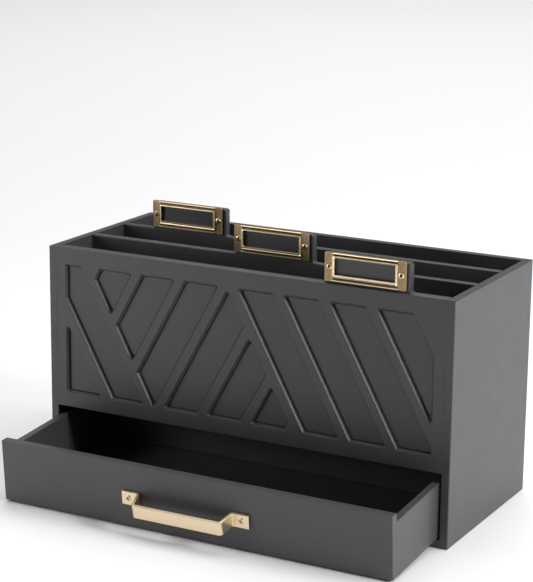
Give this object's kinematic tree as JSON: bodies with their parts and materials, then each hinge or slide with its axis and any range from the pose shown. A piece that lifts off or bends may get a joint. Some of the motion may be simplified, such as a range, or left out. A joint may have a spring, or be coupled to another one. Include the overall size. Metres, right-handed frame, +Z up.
{
  "type": "desk organizer",
  "caption": "Desk organizer: upright compartments with label tabs and a relief-patterned front, above one wide pull-out drawer with a bar handle.",
  "frame": {"origin": "centre of the case's underside, on the surface that it stands on", "axes": "+Z up, +X to the right along the front; the lattice front and the drawer face -Y"},
  "size_m": [0.3, 0.2122, 0.1824],
  "materials": {
    "case_paint": "satin charcoal paint on fibreboard",
    "drawer_paint": "satin charcoal paint on fibreboard",
    "antique_brass": "antiqued and brushed",
    "brushed_gold": "brushed champagne gold",
    "nylon": "matt"
  },
  "bodies": {
    "case": {"left_side": "case_paint", "right_side": "case_paint", "rear_panel": "case_paint", "bay_floor": "case_paint", "compartment_floor": "case_paint", "front_panel": "case_paint", "front_lattice": "case_paint", "divider_front": "case_paint", "divider_rear": "case_paint", "label_holder_front": "antique_brass", "label_holder_middle": "antique_brass", "label_holder_rear": "antique_brass", "label_screw_front_left": "antique_brass", "label_screw_front_right": "antique_brass", "label_screw_middle_left": "antique_brass", "label_screw_middle_right": "antique_brass", "label_screw_rear_left": "antique_brass", "label_screw_rear_right": "antique_brass"},
    "drawer_rocker": {"drawer_glide_left": "nylon", "drawer_glide_right": "nylon"},
    "drawer": {"drawer_front": "drawer_paint", "drawer_left_side": "drawer_paint", "drawer_right_side": "drawer_paint", "drawer_back": "drawer_paint", "drawer_bottom": "drawer_paint", "drawer_handle": "brushed_gold", "handle_screw_left": "brushed_gold", "handle_screw_right": "brushed_gold"}
  },
  "joints": [
    {"name": "drawer_tilt", "type": "hinge", "parent": "case", "child": "drawer_rocker", "pos_m": [0, -0.0625, 0.0063], "axis": [1, 0, 0], "range_deg": [-4.5, 0.3]},
    {"name": "drawer_slide", "type": "slide", "parent": "drawer_rocker", "child": "drawer", "axis": [0, -0.9971, -0.0767], "range_m": [-0.066, 0.003]}
  ],
  "couplings": [
    {"joint": "drawer_tilt", "follows": "drawer_slide", "rad_per_m": 1.1635}
  ]
}
